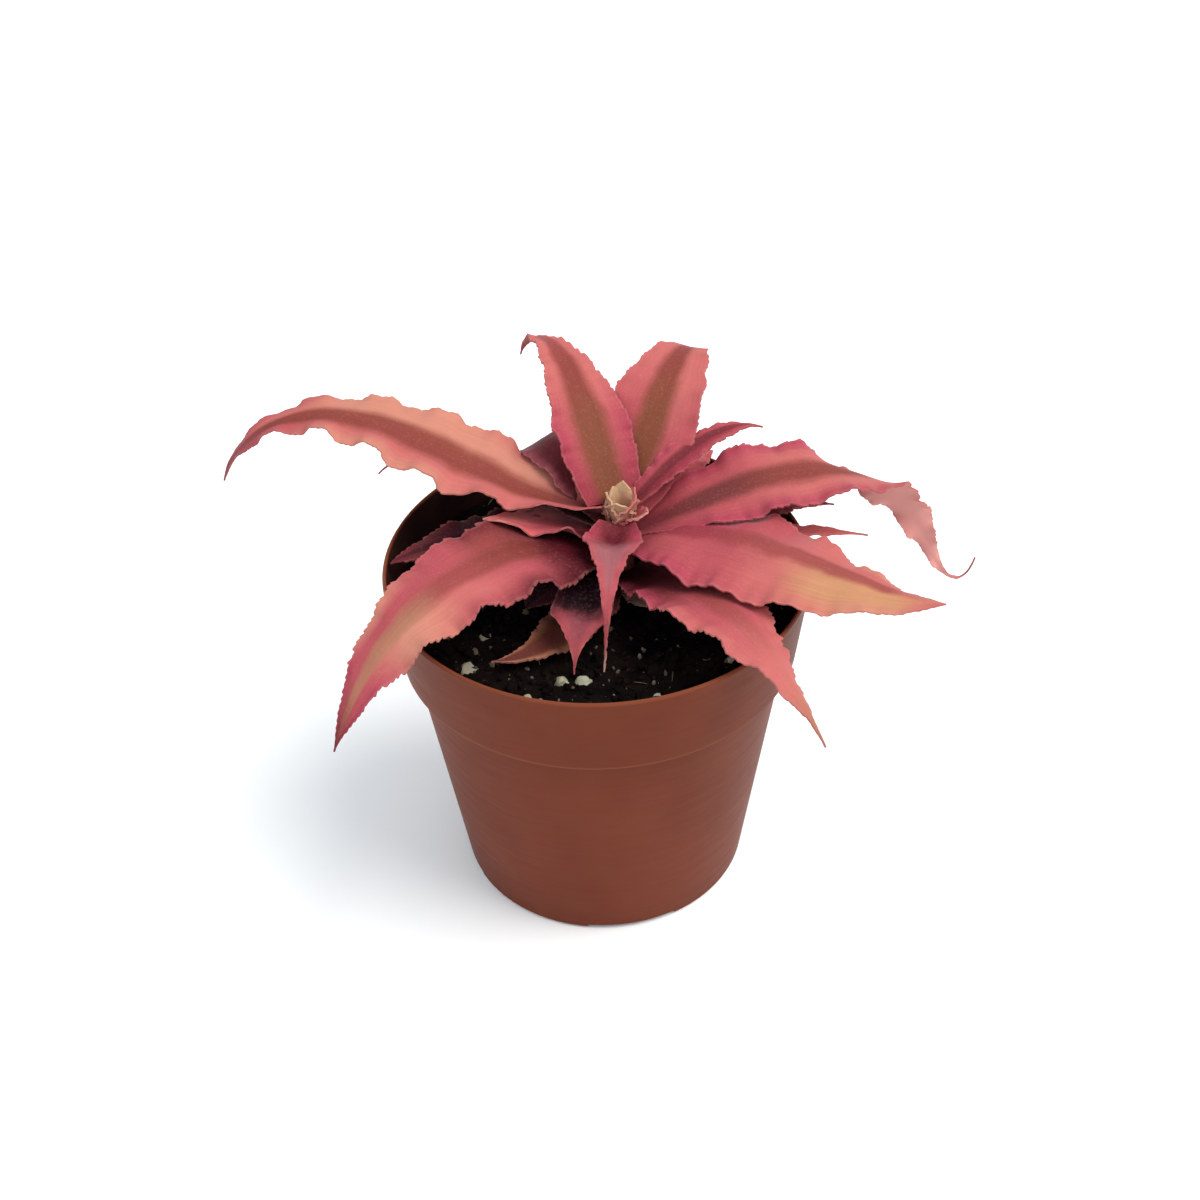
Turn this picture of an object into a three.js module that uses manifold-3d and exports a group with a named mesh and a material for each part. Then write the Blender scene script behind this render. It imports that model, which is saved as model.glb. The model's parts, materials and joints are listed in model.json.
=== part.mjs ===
// An earth star bromeliad in its nursery pot, in millimetres, +Z up.
// The origin is the centre of the pot's underside. -Y is the front.
import * as THREE from 'three';
import { mergeVertices } from 'three/addons/utils/BufferGeometryUtils.js';
import Module from 'manifold-3d';

// Pot: a thin moulded 10.5 cm nursery pot with a collar and four foot notches.
const POT_HEIGHT = 93;
const RIM_RADIUS = 52.5;
const COLLAR_HEIGHT = 23;
const COLLAR_FOOT_RADIUS = 49.8;
const NECK_RADIUS = 47.2;
const BASE_RADIUS = 37.5;
const WALL = 1.0;
const FLOOR = 2.2;
const FOOT_EDGE = 0.8;
const COLLAR_EDGE = 0.4;
const RIM_EDGE = 0.5;
const POT_SIDES = 40;
const NOTCH_COUNT = 4;
const NOTCH_BEARING = -80;
const NOTCH_SPAN = 36;
const NOTCH_HEIGHT = 1.6;
const NOTCH_DEPTH = 5;
const DRAIN_RADIUS = 3;
const DRAIN_RING = 25;
const DRAIN_SIDES = 12;

// Potting mix, filled to just under the rim.
const SEAT_GAP = 0.3;
const SOIL_TOP = 83;
const SOIL_RINGS = 5;
const SOIL_BUMP = 1.1;
const PERLITE_SIZE = 2.2;
const GRAIN_SINK = 0.3;

// Stem: short and upright, standing in a plain hole in the mix.
const STEM = new THREE.Vector3(6, 6, 0);
const STEM_RADIUS = 3.4;
const STEM_FOOT = 62;
const STEM_TOP = 101.5;
const STEM_SIDES = 12;
const STEM_TAPER = 0.4;

// Leaf blades: thickest at the midrib, thin and toothed at the margin.
const MIDRIB_THICKNESS = 1.1;
const MARGIN_THICKNESS = 0.8;
const TIP_HALF_WIDTH = 0.35;
const TOOTH = 0.6;
const TOOTH_SLANT = 0.8;
const TOOTH_FADE = 3;
const LEAF_CLEARANCE = 0.35;
const ROOT_CALM = 5;
const TIP_CALM = 3;
const WIDE_ACROSS = [-1, -0.5, 0, 0.5, 1];
const PLAIN_ACROSS = [-1, 0, 1];

const degrees = THREE.MathUtils.degToRad;
const wasm = await Module();
wasm.setup();

const part = new THREE.Group();

// ---------------------------------------------------------------- solids

function toSolid(geometry) {
  const bare = new THREE.BufferGeometry();
  bare.setAttribute('position', geometry.getAttribute('position').clone());
  bare.setIndex(geometry.getIndex() ? geometry.getIndex().clone() : null);
  const merged = mergeVertices(bare, 1e-4);
  return new wasm.Manifold(new wasm.Mesh({
    numProp: 3,
    vertProperties: new Float32Array(merged.getAttribute('position').array),
    triVerts: new Uint32Array(merged.getIndex().array),
  }));
}

function toGeometry(solid) {
  const mesh = solid.getMesh();
  const geometry = new THREE.BufferGeometry();
  geometry.setAttribute('position', new THREE.BufferAttribute(new Float32Array(mesh.vertProperties), 3));
  geometry.setIndex(new THREE.BufferAttribute(new Uint32Array(mesh.triVerts), 1));
  geometry.computeVertexNormals();
  return geometry;
}

function largestPiece(solid) {
  const pieces = solid.decompose();
  return pieces.reduce((best, piece) => (piece.volume() > best.volume() ? piece : best));
}

function add(name, solid, material) {
  const mesh = new THREE.Mesh(toGeometry(solid), material);
  mesh.name = name;
  part.add(mesh);
}

function lathe(outline, sides) {
  const points = outline.map(([radius, height]) => new THREE.Vector2(radius, height));
  return new THREE.LatheGeometry(points, sides).rotateX(Math.PI / 2);
}

function upright(radiusTop, radiusFoot, bottom, top, sides) {
  const height = top - bottom;
  return new THREE.CylinderGeometry(radiusTop, radiusFoot, height, sides)
    .rotateX(Math.PI / 2)
    .translate(0, 0, bottom + height / 2);
}

// A smooth run through values given from root to tip (De Casteljau).
function blend(values, t) {
  let row = values;
  while (row.length > 1) {
    row = row.slice(1).map((value, i) => row[i] + (value - row[i]) * t);
  }
  return row[0];
}

// A repeatable draw between 0 and 1.
function makeDraw(seed) {
  let state = seed;
  return () => {
    state = (state * 16807) % 2147483647;
    return state / 2147483647;
  };
}

// ------------------------------------------------------------------- pot

const potPlastic = new THREE.MeshStandardMaterial({ color: 0x8a4630, roughness: 0.42, metalness: 0 });

function buildPot() {
  const neck = POT_HEIGHT - COLLAR_HEIGHT;
  const shell = toSolid(lathe([
    [0, 0],
    [BASE_RADIUS - FOOT_EDGE, 0],
    [BASE_RADIUS, FOOT_EDGE],
    [NECK_RADIUS, neck],
    [COLLAR_FOOT_RADIUS - COLLAR_EDGE, neck],
    [COLLAR_FOOT_RADIUS, neck + COLLAR_EDGE],
    [RIM_RADIUS, POT_HEIGHT - RIM_EDGE],
    [RIM_RADIUS - WALL / 3, POT_HEIGHT],
    [RIM_RADIUS - WALL * 0.8, POT_HEIGHT],
    [RIM_RADIUS - WALL, POT_HEIGHT - RIM_EDGE],
    [COLLAR_FOOT_RADIUS - WALL, neck + WALL],
    [NECK_RADIUS - WALL, neck + WALL],
    [BASE_RADIUS - WALL, FLOOR],
    [0, FLOOR],
  ], POT_SIDES));

  let pot = shell;
  for (let i = 0; i < NOTCH_COUNT; i += 1) {
    const bearing = NOTCH_BEARING + (360 / NOTCH_COUNT) * i;
    const wedge = new THREE.Shape();
    wedge.absarc(0, 0, BASE_RADIUS + 2, degrees(-NOTCH_SPAN / 2), degrees(NOTCH_SPAN / 2), false);
    wedge.absarc(0, 0, BASE_RADIUS - NOTCH_DEPTH, degrees(NOTCH_SPAN / 2), degrees(-NOTCH_SPAN / 2), true);
    const cut = { depth: NOTCH_HEIGHT + 1, bevelEnabled: false, curveSegments: 6 };
    const notch = new THREE.ExtrudeGeometry(wedge, cut)
      .translate(0, 0, -1)
      .rotateZ(degrees(bearing));
    pot = pot.subtract(toSolid(notch));
    const drain = upright(DRAIN_RADIUS, DRAIN_RADIUS, -1, FLOOR + 1, DRAIN_SIDES)
      .translate(DRAIN_RING, 0, 0)
      .rotateZ(degrees(bearing));
    pot = pot.subtract(toSolid(drain));
  }
  return pot;
}

// ------------------------------------------------------------------ soil

const pottingMix = new THREE.MeshStandardMaterial({ color: 0x15100d, roughness: 1, metalness: 0 });

// Grains of perlite lying half sunk in the mix: x, y and radius.
const PERLITE = [
  [-8, -33, 1],
  [-4, -33.5, 1.15],
  [-31, -28, 1],
  [-27.5, -16, 0.7],
  [-17, -38, 0.5],
  [13, -39, 0.55],
  [31, -27, 0.6],
  [-38, 12, 0.55],
  [24, 32, 0.6],
  [-20, 34, 0.6],
];

function buildSoil() {
  const neck = POT_HEIGHT - COLLAR_HEIGHT;
  const wallRadius = (height) => {
    const t = (height - neck) / COLLAR_HEIGHT;
    return THREE.MathUtils.lerp(COLLAR_FOOT_RADIUS, RIM_RADIUS, t) - WALL - SEAT_GAP;
  };
  const edge = wallRadius(SOIL_TOP);
  const outline = [
    [0, FLOOR + SEAT_GAP],
    [BASE_RADIUS - WALL - SEAT_GAP, FLOOR + SEAT_GAP],
    [NECK_RADIUS - WALL - SEAT_GAP, neck + WALL + SEAT_GAP],
    [COLLAR_FOOT_RADIUS - WALL - SEAT_GAP, neck + WALL + SEAT_GAP + 0.3],
    [edge, SOIL_TOP],
  ];
  for (let ring = SOIL_RINGS - 1; ring > 0; ring -= 1) {
    outline.push([(edge * ring) / SOIL_RINGS, SOIL_TOP]);
  }
  outline.push([0, SOIL_TOP]);

  const geometry = mergeVertices(stripped(lathe(outline, POT_SIDES)), 1e-4);
  const place = geometry.getAttribute('position');
  const draw = makeDraw(7);
  for (let i = 0; i < place.count; i += 1) {
    const lift = (draw() - 0.5) * 2 * SOIL_BUMP;
    const reach = Math.hypot(place.getX(i), place.getY(i));
    if (place.getZ(i) > SOIL_TOP - 0.01 && reach < edge - 1) {
      place.setZ(i, SOIL_TOP + lift);
    }
  }
  let soil = toSolid(geometry);
  PERLITE.forEach(([x, y, size], i) => {
    const grain = new THREE.IcosahedronGeometry(PERLITE_SIZE * size, 0)
      .rotateZ(i)
      .rotateX(i * 0.7)
      .scale(1, 1, 0.8)
      .translate(x, y, SOIL_TOP - GRAIN_SINK);
    soil = soil.add(toSolid(grain));
  });
  const bore = STEM_RADIUS + SEAT_GAP;
  const hole = upright(bore, bore, STEM_FOOT - SEAT_GAP, SOIL_TOP + STEM_RADIUS, STEM_SIDES)
    .translate(STEM.x, STEM.y, 0);
  return soil.subtract(toSolid(hole));
}

function stripped(geometry) {
  geometry.deleteAttribute('normal');
  geometry.deleteAttribute('uv');
  return geometry;
}

// ---------------------------------------------------------------- leaves

// Each leaf is given from root to tip, angles in degrees:
//   bearing  compass direction of the root, anticlockwise from +X
//   z        height where it leaves the stem
//   climb    slope of the midrib above the horizontal
//   swing    turn of the midrib away from the bearing
//   roll     turn of the blade about the midrib, positive lifts the left edge
//   fold     how far each half of the blade rises from the midrib
//   belly    where the blade is widest, as a share of its length
//   base     width at the root, as a share of the full width
//   taper, point   how the outline runs from the belly to the tip
//   waves    number of waves, then height and phase of the left and right margin
const LARGE = 30;
const SMALL = 16;

const LEAVES = [
  {
    name: 'leaf_front_upper', bearing: -99.5, z: 102, length: 47, width: 14.5,
    climb: [-25, 85, -15, -110, -60], swing: [10, -5], roll: [0], fold: [30, 10, 0],
    belly: 0.26, base: 0.7, taper: 0.75, point: 1.9,
    waves: [3, 0.2, 0, 0.2, 0.5], steps: SMALL + 4, tint: 0xc4636d,
  },
  {
    name: 'leaf_back_right', bearing: 68, z: 101.2, length: 67, width: 24,
    climb: [28, 56, 28, -90], swing: [-2, 0], roll: [3, 2, 0], fold: [8, 8, 5],
    belly: 0.3, base: 0.5, taper: 1.6, point: 1.1,
    waves: [4, 0.5, 0.35, 0.5, 0.4], steps: LARGE, tint: 0xd07a6c,
  },
  {
    name: 'leaf_back_left', bearing: 112, z: 103.4, length: 70, width: 20,
    climb: [40, 44, 34, -6, -70], swing: [-10, 15], roll: [0, 15, 15], fold: [15, 10, 0],
    belly: 0.3, base: 0.75, taper: 1.1, point: 1.15,
    waves: [7, 0.8, 0.6, 0.4, 0.3], steps: LARGE, tint: 0xd0756b,
  },
  {
    name: 'leaf_right_raised', bearing: 35, z: 104, length: 41, width: 8.5,
    climb: [27, 30, 20, -30], swing: [0, -15], roll: [0], fold: [20, 5, 0],
    belly: 0.4, base: 0.5, taper: 1.7, point: 1.2,
    waves: [3, 0.4, 0, 0.4, 0.5], steps: SMALL, tint: 0xb2515c,
  },
  {
    name: 'leaf_left_long', bearing: 170, z: 103, length: 111, width: 25,
    climb: [0, 45, 12, -70], swing: [-32, 25], roll: [10, -10, 6, -15], fold: [40, -12, -4, 10],
    belly: 0.35, base: 0.42, taper: 1.2, point: 1.05,
    waves: [7.25, 1.8, 0.45, 1.2, 0.15], steps: LARGE, tint: 0xd8816f,
  },
  {
    name: 'leaf_right_long', bearing: 10, z: 97.5, length: 130, width: 23,
    climb: [12, 34, 14, -33, -108, -92, 24], swing: [4, -11, 53],
    roll: [0, 20, 90, -190, -20, -60], fold: [24, -20, 0, 0],
    belly: 0.42, base: 0.5, taper: 1.1, point: 2.4,
    waves: [8, 1.6, 0.4, 1.2, 0.1], steps: LARGE + 6, tint: 0xc9656c,
  },
  {
    name: 'leaf_left_small', bearing: 186, z: 97, length: 31, width: 18,
    climb: [15, 25, 15, 15], swing: [12, 0], roll: [12, 18, 15], fold: [10, 10, 5],
    belly: 0.3, base: 0.7, taper: 1.75, point: 1,
    waves: [2.1, 1.5, 0.41, 0.4, 0.5], steps: SMALL, tint: 0x9c5965,
  },
  {
    name: 'leaf_right_front', bearing: -20, z: 97.5, length: 80, width: 34,
    climb: [15, 20, -20, 0], swing: [-30, 5], roll: [-10, 5, -10], fold: [5, -25, -25],
    belly: 0.35, base: 0.6, taper: 1.8, point: 1,
    waves: [5, 1.4, 0.4, 1, 0.3], steps: LARGE, tint: 0xd97e66,
  },
  {
    name: 'leaf_left_front', bearing: 215, z: 94.5, length: 97, width: 28,
    climb: [25, 30, -32, -60], swing: [4, 17], roll: [-5, 5, -10], fold: [5, -5, -15],
    belly: 0.25, base: 0.5, taper: 2, point: 1.25,
    waves: [6, 1.8, 0.25, 0.8, 0.55], steps: LARGE, tint: 0xd1706c,
  },
  {
    name: 'leaf_front_right', bearing: -55, z: 87, length: 82, width: 23,
    climb: [23, 36, -17, -49], swing: [-5, 0], roll: [5, -5, -40], fold: [15, -10, -25],
    belly: 0.4, base: 0.6, taper: 1.55, point: 1.35,
    waves: [6, 0.5, 0, 1, 0.75], steps: LARGE, tint: 0xcb6a62,
  },
  {
    name: 'leaf_front_lower', bearing: -112, z: 90.5, length: 44, width: 13.5,
    climb: [40, 20, -25, -70], swing: [5, 12], roll: [0], fold: [25, 10, 0],
    belly: 0.7, base: 0.4, taper: 0.8, point: 1.7,
    waves: [3, 0.2, 0, 0.2, 0.5], steps: SMALL + 2, tint: 0xb4606a,
  },
  {
    name: 'leaf_back_shaded', bearing: 130, z: 97, length: 36, width: 15,
    climb: [40, 50, 20, -60], swing: [0, 5], roll: [0], fold: [20, 10, 0],
    belly: 0.5, base: 0.4, taper: 3, point: 0.5,
    waves: [4, 0.5, 0.2, 0.5, 0.6], steps: SMALL, tint: 0x7a444d,
  },
  {
    name: 'leaf_left_under', bearing: 156, z: 97.5, length: 68.5, width: 11,
    climb: [26, 22, 2, -52], swing: [0, 0], roll: [0], fold: [15, 5, 0],
    belly: 0.35, base: 0.5, taper: 1.8, point: 1.8,
    waves: [5, 0.6, 0.1, 0.6, 0.5], steps: SMALL + 4, tint: 0x6f3f4c,
  },
  {
    name: 'leaf_left_low', bearing: 176, z: 91, length: 54, width: 20,
    climb: [12, 14, 0, -16], swing: [4, 26], roll: [0], fold: [15, 5, 0],
    belly: 0.35, base: 0.4, taper: 1.8, point: 1.1,
    waves: [4, 0.6, 0, 0.6, 0.4], steps: SMALL + 4, tint: 0x5d323c,
  },
  {
    name: 'leaf_left_shaded', bearing: 215, z: 91, length: 26, width: 14,
    climb: [15, 5, -15, -40], swing: [0, 0], roll: [0], fold: [12, 4, 0],
    belly: 0.45, base: 0.5, taper: 2.4, point: 0.9,
    waves: [2, 0.4, 0, 0.4, 0.4], steps: SMALL - 4, tint: 0x4a2833,
  },
  {
    name: 'leaf_on_soil', bearing: 244, z: 87.4, length: 46, width: 14,
    climb: [0, -10, 0, 12], swing: [0, -48], roll: [0], fold: [14, 10, 6],
    belly: 0.4, base: 0.5, taper: 1.6, point: 1.3,
    waves: [3, 0.3, 0, 0.3, 0.4], steps: SMALL, tint: 0x6c4a3c,
  },
  {
    name: 'leaf_front_pale', bearing: -72, z: 86.5, length: 13, width: 8,
    climb: [0, -5, -5, 0], swing: [0, 10], roll: [0], fold: [12, 6, 0],
    belly: 0.4, base: 0.6, taper: 2, point: 0.8,
    waves: [2, 0.2, 0, 0.2, 0.4], steps: SMALL - 4, tint: 0xb98078,
  },
  {
    name: 'leaf_right_under', bearing: 2, z: 91.3, length: 58, width: 9,
    climb: [5, 11, 0, -14], swing: [0, 0], roll: [0], fold: [15, 5, 0],
    belly: 0.35, base: 0.5, taper: 1.8, point: 1.5,
    waves: [4, 0.5, 0, 0.5, 0.4], steps: SMALL + 2, tint: 0xc0646a,
  },
  {
    name: 'leaf_right_shaded', bearing: 20, z: 93.2, length: 54, width: 14,
    climb: [6, 4, -2, -18], swing: [0, -10], roll: [0], fold: [15, 5, 0],
    belly: 0.4, base: 0.5, taper: 1.8, point: 1.4,
    waves: [4, 0.5, 0.3, 0.5, 0.1], steps: SMALL + 2, tint: 0x6a2f3a,
  },
  {
    name: 'leaf_behind_right', bearing: 60, z: 94, length: 50, width: 18,
    climb: [20, 15, -10, -50], swing: [0, 0], roll: [0], fold: [15, 5, -5],
    belly: 0.35, base: 0.4, taper: 1.8, point: 1.1,
    waves: [4, 0.8, 0.3, 0.8, 0], steps: SMALL + 4, tint: 0x9a4f55,
  },
  {
    name: 'leaf_behind', bearing: 92, z: 92, length: 68, width: 20,
    climb: [20, 15, -10, -50], swing: [0, 0], roll: [0], fold: [15, 5, -5],
    belly: 0.35, base: 0.4, taper: 1.8, point: 1.1,
    waves: [4, 0.8, 0.6, 0.8, 0.2], steps: SMALL + 6, tint: 0x9a4f55,
  },
  {
    name: 'leaf_behind_left', bearing: 143, z: 92.5, length: 60, width: 17,
    climb: [20, 15, -5, -40], swing: [0, 0], roll: [0], fold: [15, 5, -5],
    belly: 0.35, base: 0.4, taper: 1.8, point: 1.1,
    waves: [4, 0.8, 0.1, 0.8, 0.7], steps: SMALL + 4, tint: 0x7d434c,
  },
];

const ROOT_REACH = STEM_RADIUS + SEAT_GAP + 0.3;

function midrib(leaf, fine) {
  const stations = [];
  const steps = leaf.steps * fine;
  const here = new THREE.Vector3(
    STEM.x + ROOT_REACH * Math.cos(degrees(leaf.bearing)),
    STEM.y + ROOT_REACH * Math.sin(degrees(leaf.bearing)),
    leaf.z,
  );
  let last = null;
  for (let i = 0; i <= steps; i += 1) {
    const s = i / steps;
    const climb = degrees(blend(leaf.climb, s));
    const heading = degrees(leaf.bearing + blend([0, ...leaf.swing], s));
    const ahead = new THREE.Vector3(
      Math.cos(climb) * Math.cos(heading),
      Math.cos(climb) * Math.sin(heading),
      Math.sin(climb),
    );
    if (last) {
      here.addScaledVector(last.clone().add(ahead), leaf.length / steps / 2);
    }
    last = ahead;
    const level = new THREE.Vector3(-Math.sin(heading), Math.cos(heading), 0);
    const lift = new THREE.Vector3().crossVectors(ahead, level);
    const roll = degrees(blend(leaf.roll, s));
    const left = level.clone().multiplyScalar(Math.cos(roll)).addScaledVector(lift, Math.sin(roll));
    const up = lift.clone().multiplyScalar(Math.cos(roll)).addScaledVector(level, -Math.sin(roll));
    if (i % fine === 0) {
      stations.push({ s, at: here.clone(), ahead, left, up });
    }
  }
  return stations;
}

function halfWidth(leaf, s) {
  const { belly, base, taper, point } = leaf;
  const grow = base + (1 - base) * Math.sin((Math.PI / 2) * Math.min(s / belly, 1));
  const shrink = s < belly ? 1 : Math.max(1 - ((s - belly) / (1 - belly)) ** taper, 0) ** point;
  return Math.max((leaf.width / 2) * grow * shrink, TIP_HALF_WIDTH);
}

// One closed blade. The same diagonals run on both faces, so thin waves never cross.
function blade(leaf, spare) {
  const rows = midrib(leaf, 3);
  const across = leaf.steps < LARGE ? PLAIN_ACROSS : WIDE_ACROSS;
  const [count, leftHeight, leftPhase, rightHeight, rightPhase] = leaf.waves;
  const place = [];
  rows.forEach(({ s, at, ahead, left, up }, i) => {
    const half = halfWidth(leaf, s) + spare;
    const fold = degrees(blend(leaf.fold, s));
    const calm = Math.min(1, ROOT_CALM * s) * Math.min(1, TIP_CALM * (1 - s));
    const nick = TOOTH * Math.min(1, half / TOOTH_FADE);
    const tooth = i % 2 ? nick : 0;
    const overrun = spare * (s === 1) - spare * (s === 0);
    [1, -1].forEach((face) => {
      across.forEach((c) => {
        const reach = half * c + (Math.abs(c) === 1 ? c * (tooth - nick / 2) : 0);
        const height = c > 0 ? leftHeight : rightHeight;
        const phase = c > 0 ? leftPhase : rightPhase;
        const wave = height * calm * c * c * Math.sin(2 * Math.PI * (count * s + phase));
        const thin = Math.max(Math.abs(c), s);
        const thick = THREE.MathUtils.lerp(MIDRIB_THICKNESS, MARGIN_THICKNESS, thin) + 2 * spare;
        const point = at.clone()
          .addScaledVector(left, reach * Math.cos(fold))
          .addScaledVector(up, Math.abs(reach) * Math.sin(fold) + wave + (face * thick) / 2);
        if (Math.abs(c) === 1) {
          point.addScaledVector(ahead, tooth * TOOTH_SLANT);
        }
        point.addScaledVector(ahead, overrun);
        place.push(point.x, point.y, point.z);
      });
    });
  });

  const columns = across.length;
  const at = (row, face, column) => row * 2 * columns + face * columns + column;
  const faces = [];
  const quad = (a, b, c, d) => faces.push(a, b, c, a, c, d);
  for (let row = 0; row < rows.length - 1; row += 1) {
    for (let column = 0; column < columns - 1; column += 1) {
      quad(at(row, 0, column), at(row + 1, 0, column), at(row + 1, 0, column + 1), at(row, 0, column + 1));
      faces.push(at(row, 1, column), at(row + 1, 1, column + 1), at(row + 1, 1, column));
      faces.push(at(row, 1, column), at(row, 1, column + 1), at(row + 1, 1, column + 1));
    }
    const edge = columns - 1;
    quad(at(row, 1, 0), at(row + 1, 1, 0), at(row + 1, 0, 0), at(row, 0, 0));
    quad(at(row, 0, edge), at(row + 1, 0, edge), at(row + 1, 1, edge), at(row, 1, edge));
  }
  const end = rows.length - 1;
  for (let column = 0; column < columns - 1; column += 1) {
    quad(at(0, 0, column), at(0, 0, column + 1), at(0, 1, column + 1), at(0, 1, column));
    quad(at(end, 0, column + 1), at(end, 0, column), at(end, 1, column), at(end, 1, column + 1));
  }
  const geometry = new THREE.BufferGeometry();
  geometry.setAttribute('position', new THREE.Float32BufferAttribute(place, 3));
  geometry.setIndex(faces);
  return toSolid(geometry);
}

// ------------------------------------------------------------------ heart

// The youngest leaves stand up round the growing tip, fused to the stem.
const HEART_RING = 1.9;
const HEART_STEPS = 5;
const HEART_LEAVES = [
  { bearing: 250, lean: 74, length: 8.5, width: 6.5 },
  { bearing: 325, lean: 66, length: 9, width: 7 },
  { bearing: 190, lean: 80, length: 11, width: 5 },
  { bearing: 70, lean: 82, length: 11, width: 6 },
  { bearing: 20, lean: 76, length: 10, width: 5.5 },
  { bearing: 130, lean: 84, length: 10, width: 5.5 },
  { bearing: -35, lean: 42, length: 9, width: 8 },
];

function buildHeart(spare) {
  const stem = upright(
    STEM_RADIUS - STEM_TAPER + spare,
    STEM_RADIUS + spare,
    STEM_FOOT,
    STEM_TOP + spare,
    STEM_SIDES,
  ).translate(STEM.x, STEM.y, 0);
  let heart = toSolid(stem);
  HEART_LEAVES.forEach(({ bearing, lean, length, width }) => {
    const young = {
      bearing,
      length,
      width,
      z: STEM_TOP - 2,
      climb: [lean + 8, lean + 4, lean],
      swing: [0],
      roll: [0],
      fold: [25, 15, 5],
      belly: 0.4,
      base: 0.7,
      taper: 1.6,
      point: 1.2,
      waves: [1, 0, 0, 0, 0],
      steps: HEART_STEPS,
    };
    const inward = ROOT_REACH - HEART_RING;
    const leafSolid = blade(young, spare).translate([
      -inward * Math.cos(degrees(bearing)),
      -inward * Math.sin(degrees(bearing)),
      0,
    ]);
    heart = heart.add(leafSolid);
  });
  return heart;
}

// --------------------------------------------------------------- assembly

const stemSkin = new THREE.MeshStandardMaterial({ color: 0xc8a06e, roughness: 0.6, metalness: 0 });
const pot = buildPot();
const soil = buildSoil();
const heart = buildHeart(0);
const roomyHeart = buildHeart(LEAF_CLEARANCE);
add('pot', pot, potPlastic);
add('soil', soil, pottingMix);
add('stem_and_heart', heart, stemSkin);

// Leaves are placed from the heart outwards. Where two blades crowd at the
// stem, the outer one is cut back to leave room round the inner one.
const placed = [];
LEAVES.forEach((leaf) => {
  let solid = blade(leaf, 0).subtract(roomyHeart);
  placed.forEach((inner) => {
    solid = solid.subtract(inner);
  });
  const skin = new THREE.MeshStandardMaterial({ color: leaf.tint, roughness: 0.5, metalness: 0 });
  add(leaf.name, largestPiece(solid), skin);
  placed.push(blade(leaf, LEAF_CLEARANCE));
});

export default part;
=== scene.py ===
# %% [markdown]
# # An earth star bromeliad in its nursery pot
#
# This lesson dresses a potted earth star. The plant is a flat rosette of pink, waved and
# toothed leaves round a cream heart. It grows in dark potting mix, in a thin plastic pot.
#
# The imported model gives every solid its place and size. It is plain: its leaves have few
# facets and one colour each. Here each solid gets a fine twin that keeps its form.
# Blender works in metres; the sizes below are in millimetres, and MM turns them into metres.
# +Z is up, and the camera looks from the -Y side.
#
# Vector noise starts at a random place unless it has a seed, so it is seeded at once. Every
# run of the lesson then gives the same grains and crumbs.

# %% Load the frame
import json
import math
from collections import namedtuple

import bpy
import numpy as np
from mathutils import Matrix, Vector, noise

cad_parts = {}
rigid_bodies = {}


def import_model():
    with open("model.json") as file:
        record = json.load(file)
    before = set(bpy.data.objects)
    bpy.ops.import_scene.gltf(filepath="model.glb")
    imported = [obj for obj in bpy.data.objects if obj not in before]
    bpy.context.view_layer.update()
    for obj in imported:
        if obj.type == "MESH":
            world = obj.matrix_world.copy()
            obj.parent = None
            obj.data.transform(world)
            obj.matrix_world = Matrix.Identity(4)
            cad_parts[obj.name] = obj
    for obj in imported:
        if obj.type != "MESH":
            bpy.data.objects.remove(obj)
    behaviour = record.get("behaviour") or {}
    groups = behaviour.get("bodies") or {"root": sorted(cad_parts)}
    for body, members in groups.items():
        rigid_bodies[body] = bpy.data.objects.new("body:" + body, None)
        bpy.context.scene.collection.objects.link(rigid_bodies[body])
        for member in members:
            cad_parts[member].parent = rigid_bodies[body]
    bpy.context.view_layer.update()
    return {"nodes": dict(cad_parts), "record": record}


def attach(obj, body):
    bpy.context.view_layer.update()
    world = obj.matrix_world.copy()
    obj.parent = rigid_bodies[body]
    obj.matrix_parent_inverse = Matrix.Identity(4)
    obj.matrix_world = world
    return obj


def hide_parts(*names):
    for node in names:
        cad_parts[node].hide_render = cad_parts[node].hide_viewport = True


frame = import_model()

MM = 0.001
BODY = "root"
NOISE_SEED = 3
noise.seed_set(NOISE_SEED)
print("nodes in the frame:", len(frame["nodes"]))

# %% [markdown]
# ## Camera, light and floor
#
# A camera can be aimed with a Track To constraint, or placed by its own axes. The second way
# is used here, because the view is tilted a little about its own line of sight, and a
# constraint would level it. The three angles below turn into the camera's right, up and back.

# %% Camera
CAMERA_PLACE = Vector((0, -347.4, 364.4)) * MM
CAMERA_YAW = math.radians(0.08)
CAMERA_PITCH = math.radians(39.27)
CAMERA_ROLL = math.radians(-1.75)
CAMERA_LENS = 54
SENSOR_WIDTH = 36
NEAREST = 0.01

forward = Vector((
    math.sin(CAMERA_YAW) * math.cos(CAMERA_PITCH),
    math.cos(CAMERA_YAW) * math.cos(CAMERA_PITCH),
    -math.sin(CAMERA_PITCH),
))
level_right = Vector((math.cos(CAMERA_YAW), -math.sin(CAMERA_YAW), 0))
level_up = level_right.cross(forward)
right = level_right * math.cos(CAMERA_ROLL) + level_up * math.sin(CAMERA_ROLL)
up = level_up * math.cos(CAMERA_ROLL) - level_right * math.sin(CAMERA_ROLL)

bpy.ops.object.camera_add()
camera = bpy.context.object
camera.name = "camera"
camera.data.lens = CAMERA_LENS
camera.data.sensor_width = SENSOR_WIDTH
camera.data.clip_start = NEAREST
turn = Matrix((right, up, -forward)).transposed().to_4x4()
camera.matrix_world = Matrix.Translation(CAMERA_PLACE) @ turn
bpy.context.scene.camera = camera
print("camera is", round(CAMERA_PLACE.length, 3), "m from the pot's foot")

# %% [markdown]
# Daylight from a large window is soft, bright and slightly blue in its shadows. One wide sun
# lamp gives the soft side light, a weaker one lifts the dark side, and a pale blue sky fills
# the rest. The light is strong enough to turn the floor white, as in a shop's catalogue, so
# PAINT mixes every colour of the object a little darker than it should look.

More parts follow.
